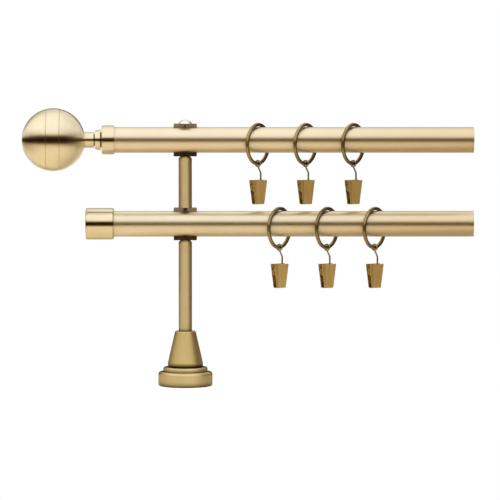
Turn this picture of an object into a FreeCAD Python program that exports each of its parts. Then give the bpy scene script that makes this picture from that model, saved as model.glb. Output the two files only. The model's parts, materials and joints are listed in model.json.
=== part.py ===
import FreeCAD, Part
import math
import os

from FreeCAD import Vector

# Double curtain pole on one wall bracket, in millimetres.
# The origin is the centre of the face that meets the wall. +Z runs out along the stem,
# +X along the poles. A pole is laid into its holder from -Y.

# Poles
POLE_DIA = 25.0
POLE_WALL = 1.0
REAR_POLE_Z = 158.7
POLE_SPACING = 82.0
POLE_REACH = 281.5

# Wall plate
PLATE_THICK = 3.0
PLATE_BOSS_DIA = 20.0
PLATE_BOSS_TOP = 10.0
PLATE_FLOOR = 1.2
SCREW_HOLE_DIA = 4.5
SCREW_PCD = 32.0
SCREW_COUNT = 3

# Flange
FLANGE_DIA = 53.0
FLANGE_RIM_HEIGHT = 13.9
FLANGE_RIM_ROUND = 2.8
FLANGE_FOOT_ROUND = 1.5
FLANGE_WALL = 3.1
FLANGE_INNER_CHAMFER = 1.8
STEP_DIA = 43.4
STEP_HEIGHT = 4.4
STEP_ROUND = 1.6

# Cone collar
CONE_FOOT_DIA = 34.4
CONE_TOP_DIA = 20.4
CONE_HEIGHT = 35.2
CONE_TOP_ROUND = 0.6
CONE_BAND_HEIGHT = 3.2
CONE_NECK_DIA = 30.0
CONE_NECK_HEIGHT = 0.9
CONE_FOOT_ROUND = 0.8

# Stems
STEM_DIA = 13.0
STEM_TIP_DIA = 8.4
STEM_TIP_HEIGHT = 3.9
STEM_TIP_BULGE = 0.6
SPIGOT_DIA = 8.0
STUD_DIA = 6.0
STUD_DEPTH = 9.0

# Pole holders
CRADLE_WIDTH = 22.6
CRADLE_FRONT = 2.5
CRADLE_STUD_FLOOR = 0.4
CRADLE_OUTER_DIA = 32.0
CRADLE_ROUND = 0.8
DOME_DIA = 13.6
DOME_HEIGHT = 3.9
DOME_SHANK_DIA = 5.0
GRUB_DIA = 4.0
GRUB_HEX = 2.0
GRUB_HEX_DEPTH = 0.9

# Finial
BALL_DIA = 61.6
BALL_CENTRE_X = -128.6
BALL_WALL = 2.0
BALL_GROOVE_SPACING = 13.2
BALL_GROOVE_WIDTH = 1.1
BALL_GROOVE_DEPTH = 0.9
NECK_DIA = 15.2
NECK_GROOVE_DIA = 11.6
NECK_GROOVE_WIDTH = 1.2
BEAD_START_X = -88.0
BEAD_SMALL_DIA = 17.8
BEAD_LARGE_DIA = 20.6
BEAD_LENGTH = 5.2
COLLAR_GROOVE_DIA = 14.6
COLLAR_GROOVE_WIDTH = 1.5
COLLAR_MOUTH_X = -69.3
COLLAR_WALL = 1.5
COLLAR_ROUND = 1.6
BALL_SEAT = 6.0

# Rear end cap
CAP_LEFT_X = -97.2
CAP_MOUTH_X = -69.8
CAP_WALL = 2.8
CAP_FLOOR = 2.0
CAP_ROUND = 1.8

# Rings
RING_PLAY = 9.4
RING_WIRE = 3.6
RING_TURN = -33.0
RING_TOP_GAP = 0.6
FRONT_RING_X = 70.9
REAR_RING_X = 91.9
RING_SPACING = 46.5
RING_COUNT = 3

# Clips, in a frame at the hook's upper eye: X across the clip, Y to its back, Z up
CLIP_TURN = 32.0
CLIP_DROP = 16.1
CLIP_SHIFT = 0.3
CLIP_HEIGHT = 23.6
CLIP_TOP_WIDTH = 16.2
CLIP_FOOT_WIDTH = 10.2
CLIP_TOP_DEPTH = 7.8
CLIP_FOOT_DEPTH = 6.6
CLIP_SHEET = 0.8
CLIP_FOLD = 0.9
CLIP_EDGE_ROUND = 0.25
CLIP_EAR_DIA = 5.0
CLIP_EAR_ROOT = 7.6
CLIP_PIVOT_DROP = 7.8
CLIP_MOUTH_GAP = 0.3
PIN_DIA = 1.8
PIN_HEAD_DIA = 3.0
PIN_HEAD_LENGTH = 0.6
HOOK_WIRE = 1.6
HOOK_EYE_DIA = 4.2
HOOK_BEND_RISE = 7.2
HOOK_BEND_R = 4.0
HOOK_SIDE = 1.8
SPRING_WIRE = 0.7
SPRING_TURNS = 5
SPRING_LEG_RISE = 5.0

# Clearances
POLE_FIT = 0.1
SOCKET_FIT = 0.05
STEM_FIT = 0.15
THREAD_FIT = 0.05
PIN_FIT = 0.05
PLATE_FIT = 0.4
JAW_SIDE_GAP = 0.35
SEAT_GAP = 0.1

# Places that follow from the sizes above
POLE_R = POLE_DIA / 2
FRONT_POLE_Z = REAR_POLE_Z + POLE_SPACING
FLANGE_CUP_R = FLANGE_DIA / 2 - FLANGE_WALL
PLATE_R = FLANGE_CUP_R - PLATE_FIT
STEM_R = STEM_DIA / 2
FLANGE_TOP = FLANGE_RIM_HEIGHT + STEP_HEIGHT
PAD_FACE = CRADLE_OUTER_DIA / 2
COLLAR_R = POLE_R + SOCKET_FIT + COLLAR_WALL
COLLAR_BACK_X = BEAD_START_X + BEAD_LENGTH + COLLAR_GROOVE_WIDTH
NECK_LEFT_X = BALL_CENTRE_X + BALL_DIA / 2 - BALL_SEAT
FRONT_POLE_LEFT_X = COLLAR_BACK_X + COLLAR_WALL
REAR_POLE_LEFT_X = CAP_LEFT_X + CAP_FLOOR
RING_INNER_R = (POLE_DIA + RING_PLAY) / 2
RING_R = RING_INNER_R + RING_WIRE / 2
RING_SAG = RING_INNER_R - POLE_R - RING_TOP_GAP
EYE_DROP = RING_SAG + RING_R
CLIP_TOP = CLIP_PIVOT_DROP
CLIP_FOOT = CLIP_PIVOT_DROP - CLIP_HEIGHT
PIVOT_DROP = CLIP_DROP + CLIP_PIVOT_DROP
HOOK_LOOP_R = PIN_DIA / 2 + SEAT_GAP + HOOK_WIRE / 2

X_AXIS = Vector(1, 0, 0)
Y_AXIS = Vector(0, 1, 0)
Z_AXIS = Vector(0, 0, 1)
ORIGIN = Vector(0, 0, 0)


def flat_face(start, steps, place):
    """A closed face. Each step is an end point, or a middle and an end point of an arc."""
    edges = []
    here = start
    for step in list(steps) + [start]:
        if isinstance(step[0], tuple):
            middle, end = step
            edges.append(Part.Arc(place(here), place(middle), place(end)).toShape())
        else:
            end = step
            edges.append(Part.LineSegment(place(here), place(end)).toShape())
        here = end
    return Part.Face(Part.Wire(edges))


def turned(start, *steps):
    """A turned piece about Z from its half outline of (radius, z) points."""
    face = flat_face(start, steps, lambda p: Vector(p[0], 0, p[1]))
    return face.revolve(ORIGIN, Z_AXIS, 360)


def corner(centre, radius, start_angle, end_angle):
    """Middle and end point of a round corner about a (radius, z) centre, angles in degrees."""
    points = []
    for angle in ((start_angle + end_angle) / 2, end_angle):
        turn = math.radians(angle)
        points.append((centre[0] + radius * math.cos(turn), centre[1] + radius * math.sin(turn)))
    return tuple(points)


def rod(diameter, start, end):
    """A round rod between two points."""
    run = end.sub(start)
    return Part.makeCylinder(diameter / 2, run.Length, start, run)


def moved(shape, vector):
    """A copy of the shape, moved."""
    copy = shape.copy()
    copy.translate(vector)
    return copy


def laid_along_x(shape, height):
    """Turns a piece made about Z to lie along X at a pole's height."""
    copy = shape.copy()
    copy.rotate(ORIGIN, Y_AXIS, 90)
    copy.translate(Vector(0, 0, height))
    return copy


def save(name, shape):
    """Writes one piece."""
    shape.exportStep("parts/" + name + ".step")


# Wall plate and flange

def wall_plate():
    """Round plate with a threaded boss for the stem and screw holes for the wall."""
    plate = turned(
        (0, 0),
        (PLATE_R, 0),
        (PLATE_R, PLATE_THICK),
        (PLATE_BOSS_DIA / 2, PLATE_THICK),
        (PLATE_BOSS_DIA / 2, PLATE_BOSS_TOP),
        (SPIGOT_DIA / 2 + THREAD_FIT, PLATE_BOSS_TOP),
        (SPIGOT_DIA / 2 + THREAD_FIT, PLATE_FLOOR),
        (0, PLATE_FLOOR),
    )
    for index in range(SCREW_COUNT):
        turn = math.radians(90 + 360 * index / SCREW_COUNT)
        centre = Vector(math.cos(turn), math.sin(turn), 0).multiply(SCREW_PCD / 2)
        plate = plate.cut(Part.makeCylinder(SCREW_HOLE_DIA / 2, PLATE_THICK, centre))
    return plate


def wall_flange():
    """Cup-shaped cover with a rounded rim and a raised step, open towards the wall."""
    rim_r = FLANGE_DIA / 2
    step_r = STEP_DIA / 2
    bore_r = STEM_R + STEM_FIT
    web_z = PLATE_BOSS_TOP + SEAT_GAP
    return turned(
        (FLANGE_CUP_R, 0),
        (rim_r - FLANGE_FOOT_ROUND, 0),
        corner((rim_r - FLANGE_FOOT_ROUND, FLANGE_FOOT_ROUND), FLANGE_FOOT_ROUND, -90, 0),
        (rim_r, FLANGE_RIM_HEIGHT - FLANGE_RIM_ROUND),
        corner((rim_r - FLANGE_RIM_ROUND, FLANGE_RIM_HEIGHT - FLANGE_RIM_ROUND), FLANGE_RIM_ROUND, 0, 90),
        (step_r, FLANGE_RIM_HEIGHT),
        (step_r, FLANGE_TOP - STEP_ROUND),
        corner((step_r - STEP_ROUND, FLANGE_TOP - STEP_ROUND), STEP_ROUND, 0, 90),
        (bore_r, FLANGE_TOP),
        (bore_r, web_z),
        (FLANGE_CUP_R - FLANGE_INNER_CHAMFER, web_z),
        (FLANGE_CUP_R, web_z - FLANGE_INNER_CHAMFER),
    )


def cone_collar():
    """Conical collar on the stem, with an upright band at its foot over a narrow neck."""
    foot_r = CONE_FOOT_DIA / 2
    neck_z = FLANGE_TOP + CONE_NECK_HEIGHT
    bore_r = STEM_R + STEM_FIT
    top_z = FLANGE_TOP + CONE_HEIGHT
    return turned(
        (bore_r, FLANGE_TOP),
        (CONE_NECK_DIA / 2, FLANGE_TOP),
        (CONE_NECK_DIA / 2, neck_z),
        (foot_r - CONE_FOOT_ROUND, neck_z),
        corner((foot_r - CONE_FOOT_ROUND, neck_z + CONE_FOOT_ROUND), CONE_FOOT_ROUND, -90, 0),
        (foot_r, neck_z + CONE_BAND_HEIGHT),
        (CONE_TOP_DIA / 2, top_z - CONE_TOP_ROUND),
        (CONE_TOP_DIA / 2 - CONE_TOP_ROUND, top_z),
        (bore_r, top_z),
    )


# Stems, studs and pole holders

def stud_hole(at_z):
    """Threaded hole for half a joining stud, running up from the given height."""
    radius = STUD_DIA / 2 + THREAD_FIT
    return Part.makeCylinder(radius, STUD_DEPTH, Vector(0, 0, at_z))


def shaft(low_z, top_z):
    """Round rod of a stem, with a rounded upper end that narrows to its flat tip."""
    tip_r = STEM_TIP_DIA / 2
    root_z = top_z - STEM_TIP_HEIGHT
    middle = ((tip_r + STEM_R) / 2 + STEM_TIP_BULGE, (root_z + top_z) / 2 + STEM_TIP_BULGE)
    return turned((0, low_z), (STEM_R, low_z), (STEM_R, root_z), (middle, (tip_r, top_z)), (0, top_z))


def lower_stem():
    """Rod from the plate's boss to the rear holder, with a spigot screwed into the plate."""
    top_z = REAR_POLE_Z - PAD_FACE
    spigot = rod(SPIGOT_DIA, Vector(0, 0, PLATE_FLOOR + SEAT_GAP), Vector(0, 0, PLATE_BOSS_TOP))
    stem = spigot.fuse(shaft(PLATE_BOSS_TOP, top_z))
    return stem.cut(stud_hole(top_z - STUD_DEPTH)).removeSplitter()


def upper_stem():
    """Rod between the two holders, drilled at both ends."""
    low_z = REAR_POLE_Z + PAD_FACE
    top_z = FRONT_POLE_Z - PAD_FACE
    return shaft(low_z, top_z).cut(stud_hole(low_z)).cut(stud_hole(top_z - STUD_DEPTH))


def holder_cup():
    """U-shaped cup round a pole on the X axis, open to -Y, with rounded rims."""
    half = CRADLE_WIDTH / 2
    face = flat_face(
        (-CRADLE_FRONT, -PAD_FACE),
        ((0, -PAD_FACE), ((PAD_FACE, 0), (0, PAD_FACE)), (-CRADLE_FRONT, PAD_FACE)),
        lambda p: Vector(-half, p[0], p[1]),
    )
    cup = face.extrude(X_AXIS * CRADLE_WIDTH)
    rims = []
    for edge in cup.Edges:
        centre = edge.CenterOfMass
        if abs(centre.x) > half - SEAT_GAP and centre.y > SEAT_GAP - CRADLE_FRONT:
            rims.append(edge)
    return cup.makeFillet(CRADLE_ROUND, rims)


def cradle():
    """Open holder about a pole on the X axis: a cup with a flat round seat for a stem on each side."""
    half = CRADLE_WIDTH / 2
    body = holder_cup().fuse(Part.makeCylinder(STEM_R, 2 * PAD_FACE, Vector(0, 0, -PAD_FACE)))
    bore_r = POLE_R + POLE_FIT
    front_corner = Vector(-half, -PAD_FACE - CRADLE_FRONT, -PAD_FACE)
    front = Part.makeBox(CRADLE_WIDTH, PAD_FACE, 2 * PAD_FACE, front_corner)
    mouth = Part.makeBox(CRADLE_WIDTH, PAD_FACE, 2 * bore_r, Vector(-half, -PAD_FACE, -bore_r))
    bore = Part.makeCylinder(bore_r, CRADLE_WIDTH, Vector(-half, 0, 0), X_AXIS)
    screw_hole = Part.makeCylinder(GRUB_DIA / 2 + THREAD_FIT, PAD_FACE, ORIGIN, Y_AXIS)
    for gap in (front, mouth, bore, screw_hole):
        body = body.cut(gap)
    return body.removeSplitter()


def cradle_stud_depth():
    """How far a joining stud reaches into a holder before the pole."""
    return PAD_FACE - POLE_R - POLE_FIT - CRADLE_STUD_FLOOR


def cradle_stud_hole(sign):
    """Hole for a joining stud in a holder's seat, above or below."""
    radius = STUD_DIA / 2 + THREAD_FIT
    return Part.makeCylinder(radius, cradle_stud_depth(), Vector(0, 0, sign * PAD_FACE), Z_AXIS * -sign)


def rear_cradle():
    """Holder of the rear pole, with a stem on both sides."""
    body = cradle()
    for sign in (-1, 1):
        body = body.cut(cradle_stud_hole(sign))
    return moved(body, Vector(0, 0, REAR_POLE_Z))


def front_cradle():
    """Holder of the front pole, closed on its outer side by the dome screw."""
    body = cradle().cut(cradle_stud_hole(-1))
    shank_r = DOME_SHANK_DIA / 2 + THREAD_FIT
    body = body.cut(Part.makeCylinder(shank_r, PAD_FACE, ORIGIN, Z_AXIS))
    return moved(body, Vector(0, 0, FRONT_POLE_Z))


def dome_screw():
    """Low domed button with a short shank in the outer seat of the front holder."""
    shank_end = POLE_R + POLE_FIT + SEAT_GAP
    dome_r = DOME_DIA / 2
    ball_r = (dome_r ** 2 + DOME_HEIGHT ** 2) / (2 * DOME_HEIGHT)
    ball_z = PAD_FACE + DOME_HEIGHT - ball_r
    half_turn = math.asin(dome_r / ball_r) / 2
    middle = (ball_r * math.sin(half_turn), ball_z + ball_r * math.cos(half_turn))
    screw = turned(
        (0, shank_end),
        (DOME_SHANK_DIA / 2, shank_end),
        (DOME_SHANK_DIA / 2, PAD_FACE),
        (dome_r, PAD_FACE),
        (middle, (0, PAD_FACE + DOME_HEIGHT)),
    )
    return moved(screw, Vector(0, 0, FRONT_POLE_Z))


def joining_studs():
    """Threaded studs between stems and holders."""
    studs = []
    reach = cradle_stud_depth() - SEAT_GAP
    depth = STUD_DEPTH - SEAT_GAP
    for pole_z, sign in ((REAR_POLE_Z, -1), (REAR_POLE_Z, 1), (FRONT_POLE_Z, -1)):
        joint_z = pole_z + sign * PAD_FACE
        start = Vector(0, 0, joint_z - sign * reach)
        end = Vector(0, 0, joint_z + sign * depth)
        studs.append(rod(STUD_DIA, start, end))
    return Part.makeCompound(studs)


def grub_screw(length):
    """Set screw along Y with its point at the origin and a hexagon socket at its back."""
    body = Part.makeCylinder(GRUB_DIA / 2, length, ORIGIN, Y_AXIS)
    points = []
    for index in range(7):
        turn = math.radians(60 * index)
        points.append(Vector(math.cos(turn), 0, math.sin(turn)).multiply(GRUB_HEX / math.sqrt(3)))
    hexagon = Part.Face(Part.makePolygon(points))
    socket = moved(hexagon, Vector(0, length - GRUB_HEX_DEPTH, 0)).extrude(Y_AXIS * GRUB_HEX_DEPTH)
    return body.cut(socket)


def cradle_grub_screws():
    """Set screws at the back of the holders, with their points on the poles."""
    tip_y = POLE_R + SEAT_GAP
    screw = grub_screw(PAD_FACE - tip_y)
    return Part.makeCompound([moved(screw, Vector(0, tip_y, z)) for z in (REAR_POLE_Z, FRONT_POLE_Z)])


# Poles, finial and end cap

def pole(left_x, height):
    """Plain tube, cut square at both ends."""
    tube = turned(
        (POLE_R - POLE_WALL, left_x),
        (POLE_R, left_x),
        (POLE_R, POLE_REACH),
        (POLE_R - POLE_WALL, POLE_REACH),
    )
    return laid_along_x(tube, height)


def grub_hole(x):
    """Threaded hole for a set screw through a collar on a pole that is made about Z."""
    return Part.makeCylinder(GRUB_DIA / 2 + THREAD_FIT, POLE_DIA, Vector(0, 0, x), Y_AXIS)


def collar_grub_x():
    """Place of the set screw in the finial's collar."""
    return (FRONT_POLE_LEFT_X + COLLAR_MOUTH_X) / 2


def cap_grub_x():
    """Place of the set screw in the end cap."""
    return (REAR_POLE_LEFT_X + CAP_MOUTH_X) / 2


def finial_neck():
    """Turned neck: a seat in the ball, grooves, a flared bead and a collar over the pole."""
    neck_r = NECK_DIA / 2
    groove_r = NECK_GROOVE_DIA / 2
    groove_x = BEAD_START_X - NECK_GROOVE_WIDTH
    bead_end_x = BEAD_START_X + BEAD_LENGTH
    socket_r = POLE_R + SOCKET_FIT
    stud_r = STUD_DIA / 2 + THREAD_FIT
    neck = turned(
        (stud_r, NECK_LEFT_X),
        (neck_r, NECK_LEFT_X),
        (neck_r, groove_x),
        (groove_r, groove_x),
        (groove_r, BEAD_START_X),
        (BEAD_SMALL_DIA / 2, BEAD_START_X),
        (BEAD_LARGE_DIA / 2, bead_end_x),
        (COLLAR_GROOVE_DIA / 2, bead_end_x),
        (COLLAR_GROOVE_DIA / 2, COLLAR_BACK_X),
        (COLLAR_R - COLLAR_ROUND, COLLAR_BACK_X),
        corner((COLLAR_R - COLLAR_ROUND, COLLAR_BACK_X + COLLAR_ROUND), COLLAR_ROUND, -90, 0),
        (COLLAR_R, COLLAR_MOUTH_X),
        (socket_r, COLLAR_MOUTH_X),
        (socket_r, FRONT_POLE_LEFT_X),
        (stud_r, FRONT_POLE_LEFT_X),
    )
    return laid_along_x(neck.cut(grub_hole(collar_grub_x())), FRONT_POLE_Z)


def finial_ball():
    """Hollow ball with two turned grooves and a threaded boss inside for the stud."""
    ball_r = BALL_DIA / 2
    inner_r = ball_r - BALL_WALL
    boss_r = NECK_DIA / 2 + BALL_WALL
    centre = Vector(0, 0, BALL_CENTRE_X)
    ball = Part.makeSphere(ball_r, centre).cut(Part.makeSphere(inner_r, centre))
    boss_x = NECK_LEFT_X - STUD_DEPTH
    boss_rod = rod(2 * boss_r, Vector(0, 0, boss_x), Vector(0, 0, BALL_CENTRE_X + ball_r))
    ball = ball.fuse(boss_rod.common(Part.makeSphere(ball_r, centre)))
    seat = rod(NECK_DIA + 2 * THREAD_FIT, Vector(0, 0, NECK_LEFT_X), Vector(0, 0, BEAD_START_X))
    stud_bore = rod(STUD_DIA + 2 * THREAD_FIT, Vector(0, 0, boss_x), Vector(0, 0, BEAD_START_X))
    ball = ball.cut(seat).cut(stud_bore)
    for sign in (-1, 1):
        groove_x = BALL_CENTRE_X + sign * BALL_GROOVE_SPACING / 2
        floor_r = math.sqrt(ball_r ** 2 - (BALL_GROOVE_SPACING / 2) ** 2) - BALL_GROOVE_DEPTH
        ball = ball.cut(turned(
            (floor_r, groove_x),
            (ball_r + BALL_GROOVE_DEPTH, groove_x - BALL_GROOVE_WIDTH / 2),
            (ball_r + BALL_GROOVE_DEPTH, groove_x + BALL_GROOVE_WIDTH / 2),
        ))
    return laid_along_x(ball, FRONT_POLE_Z)


def finial_stud():
    """Threaded stud from the neck into the ball."""
    start = Vector(0, 0, NECK_LEFT_X - STUD_DEPTH + SEAT_GAP)
    end = Vector(0, 0, FRONT_POLE_LEFT_X - SEAT_GAP)
    return laid_along_x(rod(STUD_DIA, start, end), FRONT_POLE_Z)


def rear_end_cap():
    """Plain round cap over the pole's end, with rounded edges."""
    outer_r = POLE_R + SOCKET_FIT + CAP_WALL
    socket_r = POLE_R + SOCKET_FIT
    cap = turned(
        (0, CAP_LEFT_X),
        (outer_r - CAP_ROUND, CAP_LEFT_X),
        corner((outer_r - CAP_ROUND, CAP_LEFT_X + CAP_ROUND), CAP_ROUND, -90, 0),
        (outer_r, CAP_MOUTH_X - CAP_ROUND),
        corner((outer_r - CAP_ROUND, CAP_MOUTH_X - CAP_ROUND), CAP_ROUND, 0, 90),
        (socket_r, CAP_MOUTH_X),
        (socket_r, REAR_POLE_LEFT_X),
        (0, REAR_POLE_LEFT_X),
    )
    return laid_along_x(cap.cut(grub_hole(cap_grub_x())), REAR_POLE_Z)


def collar_grub_screws():
    """Set screws that hold the finial's collar and the end cap on the poles."""
    tip_y = POLE_R + SEAT_GAP
    places = (
        (collar_grub_x(), FRONT_POLE_Z, COLLAR_WALL),
        (cap_grub_x(), REAR_POLE_Z, CAP_WALL),
    )
    screws = []
    for x, z, wall in places:
        flush = SOCKET_FIT + wall - SEAT_GAP
        screws.append(moved(grub_screw(flush), Vector(x, tip_y, z)))
    return Part.makeCompound(screws)


# Rings and clips

def ring():
    """Wire ring about the eye's frame, with its lowest wire at the origin."""
    return Part.makeTorus(RING_R, RING_WIRE / 2, Vector(0, 0, RING_R), X_AXIS)


def half_width(height):
    """Half the clip's outer width at a height over its pivot."""
    share = (CLIP_TOP - height) / CLIP_HEIGHT
    return (CLIP_TOP_WIDTH + share * (CLIP_FOOT_WIDTH - CLIP_TOP_WIDTH)) / 2


def half_depth(height):
    """Half the clip's depth at a height over its pivot."""
    share = (CLIP_TOP - height) / CLIP_HEIGHT
    return (CLIP_TOP_DEPTH + share * (CLIP_FOOT_DEPTH - CLIP_TOP_DEPTH)) / 2


def tapered_block(inset):
    """Block with the clip's slanted sides, drawn in by an inset, about the pivot."""
    points = []
    for side, height in ((-1, CLIP_TOP), (1, CLIP_TOP), (1, CLIP_FOOT), (-1, CLIP_FOOT)):
        points.append(Vector(side * (half_width(height) - inset), -CLIP_TOP_DEPTH, height))
    points.append(points[0])
    return Part.Face(Part.makePolygon(points)).extrude(Y_AXIS * (2 * CLIP_TOP_DEPTH))


def across_clip(start, *steps):
    """Extrudes an outline of (depth, height) points across the clip."""
    face = flat_face(start, steps, lambda p: Vector(-CLIP_TOP_WIDTH, p[0], p[1]))
    return face.extrude(X_AXIS * (2 * CLIP_TOP_WIDTH))


def outer_edges(plate, low_z, high_z):
    """Edges on the front of a jaw's plate that have their middle between two heights."""
    found = []
    for edge in plate.Edges:
        centre = edge.CenterOfMass
        on_front = abs(centre.y + half_depth(centre.z)) < CLIP_SHEET / 4
        if on_front and low_z - SEAT_GAP <= centre.z <= high_z + SEAT_GAP:
            found.append(edge)
    return found


def jaw(ear_inset):
    """Front jaw about the pivot: a slanted plate with a turned-in lip, and two ears on the pin."""
    top_y = -half_depth(CLIP_TOP)
    foot_y = -half_depth(CLIP_FOOT)
    lip_y = -CLIP_MOUTH_GAP / 2
    lip_top = CLIP_FOOT + CLIP_SHEET
    plate = across_clip(
        (top_y, CLIP_TOP),
        (top_y + CLIP_SHEET, CLIP_TOP),
        (foot_y + CLIP_SHEET, lip_top),
        (lip_y, lip_top),
        (lip_y, CLIP_FOOT),
        (foot_y, CLIP_FOOT),
    )
    plate = plate.common(tapered_block(0))
    plate = plate.makeFillet(CLIP_FOLD, outer_edges(plate, CLIP_FOOT, CLIP_FOOT))
    plate = plate.makeFillet(CLIP_EDGE_ROUND, outer_edges(plate, CLIP_FOOT + CLIP_FOLD, CLIP_TOP))
    ear_r = CLIP_EAR_DIA / 2
    root_z = CLIP_EAR_ROOT / 2
    ears = across_clip(
        (-half_depth(root_z) + CLIP_SHEET / 2, root_z),
        (0, ear_r),
        ((ear_r, 0), (0, -ear_r)),
        (-half_depth(-root_z) + CLIP_SHEET / 2, -root_z),
    )
    walls = tapered_block(ear_inset).cut(tapered_block(ear_inset + CLIP_SHEET))
    shell = plate.fuse(ears.common(walls))
    pin_r = PIN_DIA / 2 + PIN_FIT
    pin_hole = Part.makeCylinder(pin_r, 2 * CLIP_TOP_WIDTH, Vector(-CLIP_TOP_WIDTH, 0, 0), X_AXIS)
    return shell.cut(pin_hole).removeSplitter()


def back_jaw():
    """Back jaw: the front jaw's form turned about, with its ears inside the front jaw's."""
    shape = jaw(CLIP_SHEET + JAW_SIDE_GAP)
    shape.rotate(ORIGIN, Z_AXIS, 180)
    return shape


def clip_pin():
    """Pin with a flat head at both ends, outside the ears."""
    reach = half_width(PIN_HEAD_DIA / 2) + SEAT_GAP
    pin = rod(PIN_DIA, Vector(-reach, 0, 0), Vector(reach, 0, 0))
    for sign in (-1, 1):
        head_end = Vector(sign * (reach + PIN_HEAD_LENGTH), 0, 0)
        pin = pin.fuse(rod(PIN_HEAD_DIA, Vector(sign * reach, 0, 0), head_end))
    return pin.removeSplitter()


def bent_wire(diameter, start, bend, end, bend_r):
    """Round wire from start to end with a rounded bend between."""
    first = bend.sub(start).normalize()
    last = end.sub(bend).normalize()
    half_turn = first.getAngle(last) / 2
    run = bend_r * math.tan(half_turn)
    inward = last.sub(first).normalize()
    before = bend.sub(first * run)
    after = bend.add(last * run)
    middle = bend.add(inward * (bend_r / math.cos(half_turn) - bend_r))
    path = Part.Wire([
        Part.LineSegment(start, before).toShape(),
        Part.Arc(before, middle, after).toShape(),
        Part.LineSegment(after, end).toShape(),
    ])
    section = Part.Wire(Part.makeCircle(diameter / 2, start, first))
    return path.makePipeShell([section], True, False)


def hook():
    """Wire hook about the pivot: an eye round the ring, a bent shank and a loop under the pin."""
    wire_r = HOOK_WIRE / 2
    eye_r = (HOOK_EYE_DIA + HOOK_WIRE) / 2
    eye = Vector(-CLIP_SHIFT, 0, PIVOT_DROP)
    ring_run = math.radians(90 + RING_TURN - CLIP_TURN)
    eye_axis = Vector(math.cos(ring_run), math.sin(ring_run), 0)
    bend = Vector(HOOK_SIDE, -HOOK_LOOP_R, CLIP_TOP + HOOK_BEND_RISE)
    foot = Vector(HOOK_SIDE, -HOOK_LOOP_R, 0)
    shape = Part.makeTorus(eye_r, wire_r, eye, eye_axis)
    shape = shape.fuse(bent_wire(HOOK_WIRE, eye.sub(Z_AXIS * eye_r), bend, foot, HOOK_BEND_R))
    section = Part.Face(Part.Wire(Part.makeCircle(wire_r, foot, Z_AXIS)))
    loop = section.revolve(ORIGIN, X_AXIS, 180)
    return shape.fuse(loop).removeSplitter()


def clip_spring():
    """Torsion spring on the pin beside the hook's loop: close turns and two legs."""
    bore_r = PIN_DIA / 2 + SEAT_GAP
    wire_r = SPRING_WIRE / 2
    middle_r = bore_r + wire_r
    right_x = HOOK_SIDE - HOOK_WIRE / 2 - SEAT_GAP
    left_x = right_x - SPRING_TURNS * SPRING_WIRE
    steps = [(bore_r, left_x), (middle_r, left_x)]
    for index in range(SPRING_TURNS):
        start_x = left_x + index * SPRING_WIRE
        steps.append(((middle_r + wire_r, start_x + wire_r), (middle_r, start_x + SPRING_WIRE)))
    steps.append((bore_r, right_x))
    coil = turned(*steps)
    coil.rotate(ORIGIN, Y_AXIS, 90)
    inner_y = half_depth(SPRING_LEG_RISE) - CLIP_SHEET - wire_r - SEAT_GAP
    shape = coil
    for x, sign in ((right_x - wire_r, -1), (left_x + wire_r, 1)):
        root = Vector(x, sign * middle_r, 0)
        tip = Vector(x, sign * inner_y, SPRING_LEG_RISE)
        shape = shape.fuse(rod(SPRING_WIRE, root, tip))
    return shape.removeSplitter()


def ring_unit():
    """One ring with its hook and clip, about the wire at the ring's lowest point."""
    ring_shape = ring()
    ring_shape.rotate(ORIGIN, Z_AXIS, RING_TURN)
    pieces = {
        "hook": hook(),
        "clip_front": jaw(0),
        "clip_back": back_jaw(),
        "clip_pin": clip_pin(),
        "clip_spring": clip_spring(),
    }
    for shape in pieces.values():
        shape.translate(Vector(CLIP_SHIFT, 0, -PIVOT_DROP))
        shape.rotate(ORIGIN, Z_AXIS, CLIP_TURN)
    pieces["ring"] = ring_shape
    return pieces


os.makedirs("parts", exist_ok=True)
save("wall_plate", wall_plate())
save("wall_flange", wall_flange())
save("cone_collar", cone_collar())
save("lower_stem", lower_stem())
save("rear_cradle", rear_cradle())
save("upper_stem", upper_stem())
save("front_cradle", front_cradle())
save("dome_screw", dome_screw())
save("joining_studs", joining_studs())
save("cradle_grub_screws", cradle_grub_screws())
save("front_pole", pole(FRONT_POLE_LEFT_X, FRONT_POLE_Z))
save("finial_neck", finial_neck())
save("finial_ball", finial_ball())
save("finial_stud", finial_stud())
save("rear_pole", pole(REAR_POLE_LEFT_X, REAR_POLE_Z))
save("rear_end_cap", rear_end_cap())
save("collar_grub_screws", collar_grub_screws())

unit = ring_unit()
for pole_name, first_x, pole_z in (("front", FRONT_RING_X, FRONT_POLE_Z), ("rear", REAR_RING_X, REAR_POLE_Z)):
    for index in range(RING_COUNT):
        place = Vector(first_x + index * RING_SPACING, 0, pole_z - EYE_DROP)
        for piece, shape in unit.items():
            save(pole_name + "_" + piece + "_" + str(index + 1), moved(shape, place))
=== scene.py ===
import json
import math

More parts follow.
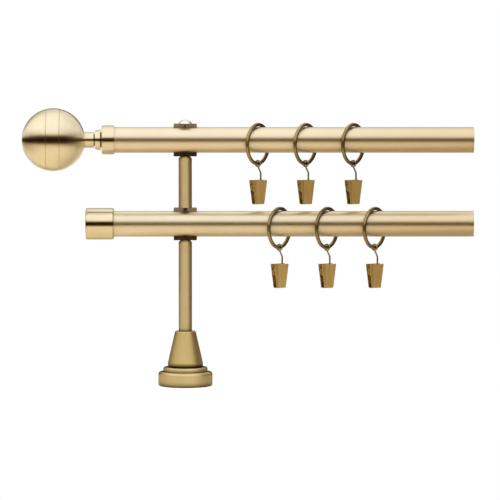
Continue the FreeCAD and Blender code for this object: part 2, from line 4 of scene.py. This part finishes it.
import bmesh
import bpy
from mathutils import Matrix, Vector


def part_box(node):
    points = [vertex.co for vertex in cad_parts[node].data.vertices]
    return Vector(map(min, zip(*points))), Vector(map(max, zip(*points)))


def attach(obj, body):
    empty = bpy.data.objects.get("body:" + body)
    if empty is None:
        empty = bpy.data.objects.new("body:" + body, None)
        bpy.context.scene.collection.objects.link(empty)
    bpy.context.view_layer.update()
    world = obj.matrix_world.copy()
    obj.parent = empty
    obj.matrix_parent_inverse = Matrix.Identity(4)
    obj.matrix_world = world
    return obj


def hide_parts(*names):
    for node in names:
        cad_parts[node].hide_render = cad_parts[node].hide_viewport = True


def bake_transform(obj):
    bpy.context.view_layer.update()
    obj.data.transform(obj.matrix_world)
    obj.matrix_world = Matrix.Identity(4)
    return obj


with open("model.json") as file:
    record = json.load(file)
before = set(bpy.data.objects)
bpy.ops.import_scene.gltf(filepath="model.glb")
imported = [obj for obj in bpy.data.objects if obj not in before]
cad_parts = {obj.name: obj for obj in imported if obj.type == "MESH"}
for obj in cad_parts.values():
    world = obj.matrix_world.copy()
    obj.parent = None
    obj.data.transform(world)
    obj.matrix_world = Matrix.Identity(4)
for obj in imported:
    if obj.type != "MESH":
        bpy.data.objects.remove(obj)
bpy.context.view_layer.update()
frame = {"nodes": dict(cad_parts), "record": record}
nodes_by_name = frame["nodes"]
record = frame["record"]

WHITE = (1.0, 1.0, 1.0)
UP = Vector((0.0, 0.0, 1.0))

# Camera: slightly above the object and far away. Lengths in metres, the sensor in millimetres
CAMERA_DISTANCE = 5.0
CAMERA_ELEVATION = math.radians(4.5)
CAMERA_REACH = 50.0
FRAME_WIDTH = 0.4885
FRAME_CENTRE = Vector((0.0632, 0.0, 0.1330))
SENSOR = 36.0

# Floor: a pale disc with painted shade that darkens it towards its far side over FLOOR_FAR_RUN, in metres;
# only reflections show the painted shade
FLOOR_RADIUS = 0.55
FLOOR_SEGMENTS = 96
FLOOR_COLOUR = (0.93, 0.81, 0.61)
FLOOR_PAINTED_SHADE = (0.50, 0.43, 0.31)
FLOOR_FAR_SIDE = (0.50, 0.87, 0.0)
FLOOR_FAR_RUN = (-0.03, 0.10)
FLOOR_GLOW = 1.11
FLOOR_SHADE = 0.12

# Room: the light from each wall. The runs between walls are cosines to +X or to the bright side
ROOM_LIGHT = 1.26
BRIGHT_SIDE = (-0.24, -0.97, 0.0)
LEFT_WALL = (0.60, 0.58, 0.52)
RIGHT_WALL = (0.10, 0.065, 0.03)
BACK_WALL = (0.70, 0.72, 0.71)
LEFT_TO_RIGHT = (-0.6, 0.4)
BACK_TO_SIDES = (-0.97, -0.70)
SIDES_TO_FRONT = (-0.10, 0.90)

# Above CEILING_RUN the walls no longer count; towards the bright side that starts lower
CEILING_RUN = (0.40, 0.75)
CEILING_LEAN = 0.25

# Colours of the room by the rise of the direction, from straight down to straight up
ROOM_COLOURS = (
    (-1.00, (0.70, 0.60, 0.45)),
    (-0.28, (0.70, 0.60, 0.45)),
    (-0.21, (0.34, 0.20, 0.03)),
    (-0.13, (0.010, 0.003, 0.0)),
    (0.24, (0.010, 0.003, 0.0)),
    (0.33, (0.42, 0.29, 0.07)),
    (0.42, (0.98, 0.97, 0.93)),
    (1.00, WHITE),
)

# Lamps: place and size in metres, power in watts. The panels stand behind the ball
SOFT_BOX = ("soft_box", (-0.4, -0.2, 2.4), (3.0, 2.0), 12.0)
RIM_PANELS = (
    ("rim_panel_left", (-0.62, 0.22, 0.44), (0.55, 0.30), 0.36),
    ("rim_panel_right", (0.36, 0.22, 0.44), (0.55, 0.30), 0.44),
    ("rim_panel_low", (-0.10, 0.36, 0.085), (1.2, 0.12), 0.30),
)

# Turned pieces, in metres
SEGMENTS = 192
POLE_WALL = 0.0010
CUT_ROUND = 0.0003
CUT_STEPS = 4
SEAM_HEIGHT = 0.00025
SEAM_TURN = math.radians(7.0)
BALL_STEPS = 120
BALL_GROOVE_OFFSET = 0.0066
BALL_GROOVE_WIDTH = 0.0011
BALL_GROOVE_DEPTH = 0.0006
BALL_GROOVE_STEPS = (-1.0, -0.5, 0.0, 0.5, 1.0)
NECK_RADIUS = 0.0076
SHARP_ANGLE = math.radians(40.0)

# Clip springs, in metres, measured from the clip's pin
SPRING_WIRE = 0.0007
SPRING_TURNS = 4.5
SPRING_RADIUS = 0.00135
SPRING_RIGHT = 0.0009
SPRING_LEG_OUT = 0.00258
SPRING_LEG_UP = 0.0050
SPRING_STEPS = 28
WIRE_SIDES = 12

# Grain of the metals: scales in waves a metre for each axis, lengths in metres
DRIFT = (28.0, 28.0, 28.0)
SMUDGE = (75.0, 75.0, 75.0)
ROUND_X = (1500.0, 12.0, 12.0)
ROUND_X_COARSE = (300.0, 10.0, 10.0)
ROUND_Z = (12.0, 12.0, 1500.0)
ALONG_X = (60.0, 1400.0, 1400.0)
EVEN = (900.0, 900.0, 900.0)
UPRIGHT = (1600.0, 1600.0, 140.0)
UPRIGHT_STREAKS = (230.0, 230.0, 22.0)
BRUSH_HEIGHT = 0.0001
EDGE_ROUND = 0.0003
EDGE_SAMPLES = 4
HOLLOW_SAMPLES = 8

# Noise values between which colour, brushing and roughness go from one end of their range to the other
DRIFT_RUN = (0.32, 0.68)
BRUSH_RUN = (0.25, 0.75)
ROUGH_RUN = (0.30, 0.70)
BRUSH_SHARE = 0.6
SMUDGE_SHARE = 0.4

# Shares of a full turn, and the places of the colours among the sockets of a Mix node
QUARTER_TURN = 0.25
MIX_FIRST, MIX_SECOND, MIX_RESULT = 6, 7, 2


# Shader nodes

class Tree:
    """Adds and links shader nodes in a few words."""

    def __init__(self, owner):
        owner.use_nodes = True
        self.tree = owner.node_tree
        self.tree.nodes.clear()

    def feed(self, socket, value):
        """Links an output to a socket, or sets the socket to a fixed value."""
        if isinstance(value, bpy.types.NodeSocket):
            self.tree.links.new(value, socket)
        else:
            socket.default_value = value

    def add(self, kind, inputs=None, **settings):
        node = self.tree.nodes.new(kind)
        for key, value in settings.items():
            setattr(node, key, value)
        for key, value in (inputs or {}).items():
            self.feed(node.inputs[key], value)
        return node

    def math(self, operation, first, second=0.0, third=0.0):
        node = self.add("ShaderNodeMath", {0: first, 1: second, 2: third}, operation=operation)
        return node.outputs[0]

    def vector(self, operation, first, second=(0.0, 0.0, 0.0)):
        return self.add("ShaderNodeVectorMath", {0: first, 1: second}, operation=operation).outputs

    def smooth(self, value, low, high, to_low=0.0, to_high=1.0):
        """A value between low and high, brought smoothly to the range from to_low to to_high."""
        node = self.add(
            "ShaderNodeMapRange",
            {"Value": value, "From Min": low, "From Max": high, "To Min": to_low, "To Max": to_high},
            interpolation_type="SMOOTHSTEP",
        )
        return node.outputs["Result"]

    def mix(self, share, first, second):
        """Colour between a linked or fixed first and second colour."""
        node = self.add("ShaderNodeMix", {0: share}, data_type="RGBA")
        for index, colour in ((MIX_FIRST, first), (MIX_SECOND, second)):
            fixed = not isinstance(colour, bpy.types.NodeSocket)
            self.feed(node.inputs[index], (*colour, 1.0) if fixed else colour)
        return node.outputs[MIX_RESULT]

    def coordinates(self, kind):
        return self.add("ShaderNodeTexCoord").outputs[kind]

    def along(self, vector, axis):
        return self.add("ShaderNodeSeparateXYZ", {0: vector}).outputs[axis]

    def noise(self, scale, detail, roughness):
        """Noise in object coordinates, with a scale for each axis."""
        place = self.add("ShaderNodeMapping", {"Vector": self.coordinates("Object"), "Scale": scale})
        node = self.add(
            "ShaderNodeTexNoise",
            {"Vector": place.outputs["Vector"], "Scale": 1.0, "Detail": detail, "Roughness": roughness},
        )
        return node.outputs["Fac"]

    def shown(self):
        """1 where the camera looks, straight or through glass, and 0 for light and reflections."""
        path = self.add("ShaderNodeLightPath").outputs
        return self.math("MAXIMUM", path["Is Camera Ray"], path["Is Transmission Ray"])

    def mix_shaders(self, share, first, second):
        return self.add("ShaderNodeMixShader", {0: share, 1: first.outputs[0], 2: second.outputs[0]})

    def output(self, shader, kind="ShaderNodeOutputMaterial"):
        self.add(kind, {"Surface": shader.outputs[0]})


# Materials

def metal(
    name,
    dark,
    light,
    rough,
    brush,
    brush_depth=0.03,
    brush_shade=0.96,
    axis=None,
    stretch=0.0,
    patina_and_shade=(0.10, 0.06, 0.02),
    patina_and_shade_share=0.85,
    reach=0.0022,
    hollow=(0.25, 0.70),
    fade=None,
    drift_scale=DRIFT,
):
    """Worked metal: slow colour drift, smudges, brushing, softened edges, and recesses darkened by patina and
    painted shade.

    The colour drifts between dark and light at drift_scale, rough is the range of roughness, and brush is
    the scale of the brushing, which darkens the colour down to brush_shade.
    axis is the one that the piece was turned about: its reflections stretch along that axis.
    patina, partly a real patina and partly painted shade, is painted into recesses and gaps between parts
    narrower than reach: patina_and_shade_share of it where less of the sky is open than hollow's first share,
    and none above its second.
    fade is an axis, a start and an end as shares of the piece's length along it, and the colour past the end.
    """
    material = bpy.data.materials.new(name)
    tree = Tree(material)
    drift = tree.noise(drift_scale, detail=4.0, roughness=0.55)
    smudge = tree.noise(SMUDGE, detail=3.0, roughness=0.6)
    lines = tree.noise(brush, detail=3.0, roughness=0.6)
    colour = tree.mix(tree.smooth(drift, *DRIFT_RUN), dark, light)
    if fade:
        fade_axis, start, end, far = fade
        run = tree.along(tree.coordinates("Generated"), fade_axis)
        colour = tree.mix(tree.smooth(run, start, end), colour, far)
    shade = tree.smooth(lines, *BRUSH_RUN, brush_shade, 1.0)
    colour = tree.add("ShaderNodeHueSaturation", {"Color": colour, "Value": shade}).outputs["Color"]
    # Recesses and gaps between parts take the recess colour: partly patina, partly painted shade.
    sky = tree.add("ShaderNodeAmbientOcclusion", {"Distance": reach}, samples=HOLLOW_SAMPLES)
    colour = tree.mix(tree.smooth(sky.outputs["AO"], *hollow, patina_and_shade_share, 0.0), colour, patina_and_shade)
    level = tree.math(
        "ADD", tree.math("MULTIPLY", lines, BRUSH_SHARE), tree.math("MULTIPLY", smudge, SMUDGE_SHARE)
    )
    rounded = tree.add("ShaderNodeBevel", {"Radius": EDGE_ROUND}, samples=EDGE_SAMPLES).outputs["Normal"]
    bump = tree.add(
        "ShaderNodeBump",
        {"Height": lines, "Strength": brush_depth, "Distance": BRUSH_HEIGHT, "Normal": rounded},
    )
    shader = tree.add(
        "ShaderNodeBsdfPrincipled",
        {
            "Base Color": colour,
            "Metallic": 1.0,
            "Roughness": tree.smooth(level, *ROUGH_RUN, *rough),
            "Normal": bump.outputs["Normal"],
            "Anisotropic": stretch,
        },
    )
    if axis:
        tangent = tree.add("ShaderNodeTangent", direction_type="RADIAL", axis=axis)
        tree.feed(shader.inputs["Tangent"], tangent.outputs["Tangent"])
        tree.feed(shader.inputs["Anisotropic Rotation"], QUARTER_TURN)
    tree.output(shader)
    return material


# The tube's colour turns browner towards its right end: painted shade.
TUBE = metal(
    "tube_brass", (0.83, 0.725, 0.54), (0.87, 0.765, 0.58), (0.43, 0.47), ROUND_X,
    brush_depth=0.008, brush_shade=0.985, axis="X", stretch=0.7, patina_and_shade_share=0.3,
    fade=("X", 0.30, 1.0, (0.78, 0.64, 0.43)),
)
POLISHED = metal(
    "turned_brass", (0.85, 0.74, 0.52), (0.90, 0.79, 0.57), (0.31, 0.36), ROUND_X,
    brush_depth=0.012, axis="X", stretch=1.0, patina_and_shade_share=0.95, reach=0.0045, hollow=(0.35, 0.90),
)
BALL = metal(
    "ball_brass", (0.88, 0.78, 0.56), (0.93, 0.83, 0.61), (0.31, 0.36), ROUND_X_COARSE,
    brush_depth=0.01, brush_shade=0.93, axis="X", stretch=1.0, patina_and_shade_share=0.35,
)
# The holder is near black below and is painted lighter towards its top: painted shade below, painted light
# above.
CRADLE = metal(
    "cradle_brass", (0.10, 0.06, 0.03), (0.16, 0.10, 0.05), (0.36, 0.42), EVEN,
    brush_depth=0.004, fade=("Z", 0.10, 0.90, (0.62, 0.55, 0.43)),
)
DOME = metal(
    "dome_nickel", (0.80, 0.79, 0.76), (0.86, 0.85, 0.82), (0.34, 0.40), EVEN,
    brush_depth=0.004, fade=("Z", 0.42, 0.34, (0.12, 0.09, 0.06)),
)
STEM = metal(
    "stem_brass", (0.95, 0.78, 0.44), (0.99, 0.83, 0.49), (0.48, 0.52), ROUND_Z,
    brush_depth=0.012, axis="Z", stretch=1.0, patina_and_shade=(0.20, 0.13, 0.06), reach=0.010, hollow=(0.50, 0.95),
)
FOOT = {
    "rough": (0.38, 0.44),
    "brush": ROUND_Z,
    "brush_depth": 0.015,
    "brush_shade": 0.95,
    "axis": "Z",
    "stretch": 0.9,
    "patina_and_shade": (0.08, 0.045, 0.015),
    "patina_and_shade_share": 0.92,
    "reach": 0.008,
    "hollow": (0.45, 0.95),
}
SATIN = metal("satin_brass", (0.80, 0.66, 0.36), (0.88, 0.74, 0.43), **FOOT)
# The collar darkens towards its foot: painted shade.
COLLAR = metal(
    "collar_brass", (0.80, 0.63, 0.30), (0.88, 0.71, 0.36), **FOOT, fade=("Z", 0.15, 0.04, (0.22, 0.14, 0.06))
)
ANTIQUE = metal("antique_brass", (0.27, 0.20, 0.10), (0.46, 0.36, 0.18), (0.28, 0.40), EVEN, brush_shade=0.9)
WIRE = metal("hook_brass", (0.40, 0.34, 0.22), (0.56, 0.48, 0.33), (0.26, 0.36), EVEN)
# The clip's left side is darker, and its inside between the jaws takes the recess colour over a wider reach:
# painted shade.
CLIP = metal(
    "clip_brass", (0.95, 0.68, 0.26), (1.0, 0.80, 0.37), (0.54, 0.62), UPRIGHT,
    brush_shade=0.95, patina_and_shade=(0.10, 0.05, 0.015), reach=0.006, hollow=(0.35, 0.92),
    fade=("X", 0.39, 0.31, (0.78, 0.56, 0.22)), drift_scale=UPRIGHT_STREAKS,
)
STEEL = metal("zinc_steel", (0.42, 0.42, 0.43), (0.58, 0.58, 0.57), (0.25, 0.40), EVEN)
RAW_STEEL = metal("tube_bore", (0.20, 0.18, 0.15), (0.32, 0.29, 0.25), (0.42, 0.55), ALONG_X)
DARK_STEEL = metal("dark_steel", (0.05, 0.05, 0.05), (0.12, 0.11, 0.10), (0.30, 0.45), EVEN)

MATERIAL_OF_SLOT = {
    "polished_brass": POLISHED,
    "satin_brass": SATIN,
    "antique_brass": ANTIQUE,
    "clip_brass": CLIP,
    "steel": STEEL,
    "dark_steel": DARK_STEEL,
}
MATERIAL_OF_PIECE = {
    "front_cradle": CRADLE,
    "rear_cradle": CRADLE,
    "dome_screw": DOME,
    "joining_studs": DARK_STEEL,
    "cone_collar": COLLAR,
    "lower_stem": STEM,
    "upper_stem": STEM,
}


def finish_of(part):
    """The material of a CAD node, by its own name or else by its slot."""
    if "_hook_" in part["node"]:
        return WIRE
    return MATERIAL_OF_PIECE.get(part["node"], MATERIAL_OF_SLOT[part["material_slot"]])


for part in record["subparts"]:
    for place in nodes_by_name[part["node"]].material_slots:
        place.material = finish_of(part)


# Pieces

def add_piece(name, shape, materials, node):
    """Makes an object of a finished mesh that stands for a CAD node."""
    bmesh.ops.recalc_face_normals(shape, faces=shape.faces)
    mesh = bpy.data.meshes.new(name)
    shape.to_mesh(mesh)
    shape.free()
    mesh.shade_smooth()
    mesh.set_sharp_from_angle(angle=SHARP_ANGLE)
    for material in materials:
        mesh.materials.append(material)
    piece = bpy.data.objects.new(name, mesh)
    bpy.context.scene.collection.objects.link(piece)
    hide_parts(node)
    return piece


def turned_x(outline, axis_z, closed, radius_of=None):
    """Sweeps an outline of (x, radius) points round a line along X at the given height.

    The faces that close a closed outline get the second material.
    radius_of may vary the radius of a point of the outline by its turn round the line.
    """
    shape = bmesh.new()
    rings = []
    for index, (x, radius) in enumerate(outline):
        if radius == 0.0:
            rings.append([shape.verts.new((x, 0.0, axis_z))])
            continue
        ring = []
        for step in range(SEGMENTS):
            turn = 2.0 * math.pi * step / SEGMENTS
            here = radius_of(index, radius, turn) if radius_of else radius
            ring.append(shape.verts.new((x, here * math.sin(turn), axis_z + here * math.cos(turn))))
        rings.append(ring)
    bands = [(low, high, 0) for low, high in zip(rings, rings[1:])]
    if closed:
        bands.append((rings[-1], rings[0], 1))
    for low, high, material in bands:
        for step in range(SEGMENTS):
            after = (step + 1) % SEGMENTS
            corners = [
                low[step % len(low)], low[after % len(low)], high[after % len(high)], high[step % len(high)]
            ]
            face = shape.faces.new(list(dict.fromkeys(corners)))
            face.material_index = material
    return shape


def bore_of(pole):
    """Radius of a pole's bore, from the record."""
    for mount in record["mounts"]:
        if mount["name"] == pole + "_bore":
            return mount["dims"]["r_mm"] / 1000.0
    raise ValueError(pole)


def cut_edge(x, radius, start, end):
    """Outline of a softened cut edge round the given centre, angles in degrees."""
    points = []
    for index in range(CUT_STEPS + 1):
        turn = math.radians(start + (end - start) * index / CUT_STEPS)
        points.append((x + CUT_ROUND * math.cos(turn), radius + CUT_ROUND * math.sin(turn)))
    return points


def make_pole(name):
    """Tube with softened edges at its cut end, and in its bore the bead of the weld seam."""
    low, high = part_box(name)
    bore = bore_of(name)
    outer = bore + POLE_WALL
    outline = [(low[0], bore), (low[0], outer)]
    outline += cut_edge(high[0] - CUT_ROUND, outer - CUT_ROUND, 90.0, 0.0)
    outline += cut_edge(high[0] - CUT_ROUND, bore + CUT_ROUND, 0.0, -90.0)
    bore_points = (0, len(outline) - 1)

    def seamed(index, radius, turn):
        if index not in bore_points:
            return radius
        off = abs(turn - math.pi) / SEAM_TURN
        return radius - SEAM_HEIGHT * max(0.0, 1.0 - off * off)

    shape = turned_x(outline, (low[2] + high[2]) / 2.0, True, seamed)
    piece = add_piece("tube_" + name, shape, (TUBE, RAW_STEEL), name)
    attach(piece, "bracket_and_poles")


def make_ball():
    """Ball with two turned grooves and a seat for the neck."""
    low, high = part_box("finial_ball")
    radius = (high[2] - low[2]) / 2.0
    centre_x = low[0] + radius
    seat_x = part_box("finial_neck")[0][0]
    outline = []
    mouth = math.asin(NECK_RADIUS / radius)
    for index in range(BALL_STEPS + 1):
        turn = math.pi - (math.pi - mouth) * index / BALL_STEPS
        along = radius * math.cos(turn)
        off = min(abs(along - BALL_GROOVE_OFFSET), abs(along + BALL_GROOVE_OFFSET))
        if off > BALL_GROOVE_WIDTH:
            outline.append((centre_x + along, radius * math.sin(turn) if index else 0.0))
    for side in (-1.0, 1.0):
        for step in BALL_GROOVE_STEPS:
            along = side * BALL_GROOVE_OFFSET + step * BALL_GROOVE_WIDTH
            depth = BALL_GROOVE_DEPTH * max(0.0, 1.0 - 2.0 * abs(step))
            outline.append((centre_x + along, math.sqrt(radius ** 2 - along ** 2) - depth))
    outline.sort()
    outline += [(seat_x, NECK_RADIUS), (seat_x, 0.0)]
    shape = turned_x(outline, (low[2] + high[2]) / 2.0, False)
    piece = add_piece("turned_ball", shape, (BALL,), "finial_ball")
    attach(piece, "bracket_and_poles")


def wire_shape(points, radius):
    """A round wire along points, with closed ends."""
    shape = bmesh.new()
    side = None
    rings = []
    for index, point in enumerate(points):
        before = points[max(index - 1, 0)]
        after = points[min(index + 1, len(points) - 1)]
        run = (after - before).normalized()
        if side is None:
            side = run.orthogonal()
        side = (side - run * side.dot(run)).normalized()
        other = run.cross(side)
        ring = []
        for step in range(WIRE_SIDES):
            turn = 2.0 * math.pi * step / WIRE_SIDES
            ring.append(shape.verts.new(point + (side * math.cos(turn) + other * math.sin(turn)) * radius))
        rings.append(ring)
    for low, high in zip(rings, rings[1:]):
        for step in range(WIRE_SIDES):
            after = (step + 1) % WIRE_SIDES
            shape.faces.new((low[step], low[after], high[after], high[step]))
    shape.faces.new(rings[0])
    shape.faces.new(rings[-1])
    return shape


def make_spring(joint):
    """Wound torsion spring on a clip's pin.

    Its two legs reach out to opposite sides of the pin, one to each jaw.
    """
    pole, number = joint["name"].split("_")[:2]
    pin = Vector(joint["pos_m"])
    across = Vector(joint["axis"]).normalized()
    back = UP.cross(across)
    radius = SPRING_WIRE / 2.0
    right = SPRING_RIGHT - radius
    left = SPRING_RIGHT - SPRING_TURNS * SPRING_WIRE

    def place(along, out, rise):
        return pin + across * along + back * out + UP * rise

    points = [place(left, SPRING_LEG_OUT, SPRING_LEG_UP)]
    total = round(SPRING_TURNS * SPRING_STEPS)
    for step in range(total + 1):
        turn = -2.0 * math.pi * step / SPRING_STEPS
        along = left + (right - left) * step / total
        points.append(place(along, SPRING_RADIUS * math.cos(turn), SPRING_RADIUS * math.sin(turn)))
    points.append(place(right, -SPRING_LEG_OUT, SPRING_LEG_UP))
    node = pole + "_clip_spring_" + number
    piece = add_piece("wound_" + node, wire_shape(points, radius), (DARK_STEEL,), node)
    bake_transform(piece)


make_pole("front_pole")
make_pole("rear_pole")
make_ball()
for joint in record["behaviour"]["joints"]:
    if joint["name"].endswith("_jaw_open"):
        make_spring(joint)


# Studio

def make_world():
    """White where the camera looks, and for light and reflections a room.

    The room has a bright ceiling, a dark strip at eye height, and walls that are brightest in front.
    """
    world = bpy.data.worlds.new("studio")
    bpy.context.scene.world = world
    tree = Tree(world)
    way = tree.coordinates("Generated")
    rise = tree.along(way, "Z")
    heading = tree.vector("NORMALIZE", tree.vector("MULTIPLY", way, (1.0, 1.0, 0.0))[0])[0]
    front = tree.vector("DOT_PRODUCT", heading, BRIGHT_SIDE)["Value"]
    sides = tree.mix(tree.smooth(tree.along(heading, "X"), *LEFT_TO_RIGHT), LEFT_WALL, RIGHT_WALL)
    walls = tree.mix(tree.smooth(front, *BACK_TO_SIDES), BACK_WALL, sides)
    walls = tree.mix(tree.smooth(front, *SIDES_TO_FRONT), walls, WHITE)
    lift = tree.math("MULTIPLY_ADD", front, CEILING_LEAN, rise)
    light = tree.mix(tree.smooth(lift, *CEILING_RUN), walls, WHITE)
    share = tree.add("ShaderNodeMapRange", {"Value": rise, "From Min": -1.0, "From Max": 1.0})
    stripes = tree.add("ShaderNodeValToRGB", {0: share.outputs["Result"]})
    stops = stripes.color_ramp.elements
    ready = len(stops)
    for index, (height, colour) in enumerate(ROOM_COLOURS):
        position = (height + 1.0) / 2.0
        stop = stops[index] if index < ready else stops.new(position)
        stop.position = position
        stop.color = (*colour, 1.0)
    colour = tree.vector("MULTIPLY", stripes.outputs[0], light)[0]
    room = tree.add("ShaderNodeBackground", {"Color": colour, "Strength": ROOM_LIGHT})
    white = tree.add("ShaderNodeBackground", {"Color": (*WHITE, 1.0), "Strength": 1.0})
    tree.output(tree.mix_shaders(tree.shown(), room, white), "ShaderNodeOutputWorld")


def make_floor():
    """Pale disc: to the camera a near-white one that keeps the object's shadow."""
    mesh = bpy.data.meshes.new("floor")
    shape = bmesh.new()
    bmesh.ops.create_circle(shape, cap_ends=True, radius=FLOOR_RADIUS, segments=FLOOR_SEGMENTS)
    shape.to_mesh(mesh)
    shape.free()
    floor = bpy.data.objects.new("floor", mesh)
    bpy.context.scene.collection.objects.link(floor)
    material = bpy.data.materials.new("pale_floor")
    tree = Tree(material)
    # Painted shade on the floor: its colour darkens towards the far side, which only reflections show.
    far = tree.vector("DOT_PRODUCT", tree.coordinates("Object"), FLOOR_FAR_SIDE)["Value"]
    colour = tree.mix(tree.smooth(far, *FLOOR_FAR_RUN), FLOOR_COLOUR, FLOOR_PAINTED_SHADE)
    diffuse = tree.add("ShaderNodeBsdfDiffuse", {"Color": colour})
    white = tree.add("ShaderNodeEmission", {"Color": (*WHITE, 1.0), "Strength": FLOOR_GLOW})
    pale = tree.mix_shaders(FLOOR_SHADE, white, diffuse)
    tree.output(tree.mix_shaders(tree.shown(), diffuse, pale))
    mesh.materials.append(material)


def facing(direction):
    """Rotation of a lamp or camera that looks in a direction."""
    return direction.to_track_quat("-Z", "Y").to_euler()


def add_lamp(name, place, size, power, target):
    """Rectangular area lamp that faces a target."""
    data = bpy.data.lights.new(name, "AREA")
    data.shape = "RECTANGLE"
    data.size, data.size_y = size
    data.energy = power
    lamp = bpy.data.objects.new(name, data)
    lamp.location = place
    lamp.rotation_euler = facing(target - Vector(place))
    bpy.context.scene.collection.objects.link(lamp)
    return lamp


def make_lamps():
    """A soft box over the object, and panels that only the ball sees: they clear the edges of its surface."""
    soft_box = add_lamp(*SOFT_BOX, FRAME_CENTRE)
    soft_box.visible_glossy = False
    ball = bpy.data.objects["turned_ball"]
    seen_by = bpy.data.collections.new("rim_lit")
    seen_by.objects.link(ball)
    lowest, highest = ball.bound_box[0], ball.bound_box[6]
    middle = (Vector(lowest) + Vector(highest)) / 2.0
    for panel in RIM_PANELS:
        lamp = add_lamp(*panel, middle)
        lamp.light_linking.receiver_collection = seen_by


def make_camera():
    """Long lens far away, so that the view is almost parallel."""
    data = bpy.data.cameras.new("camera")
    data.sensor_width = SENSOR
    data.lens = SENSOR * CAMERA_DISTANCE / FRAME_WIDTH
    data.clip_end = CAMERA_REACH
    camera = bpy.data.objects.new("camera", data)
    away = Vector((0.0, -math.cos(CAMERA_ELEVATION), math.sin(CAMERA_ELEVATION)))
    camera.location = FRAME_CENTRE + away * CAMERA_DISTANCE
    camera.rotation_euler = facing(-away)
    bpy.context.scene.collection.objects.link(camera)
    bpy.context.scene.camera = camera


make_world()
make_floor()
make_lamps()
make_camera()
bpy.context.scene.view_settings.view_transform = "Standard"
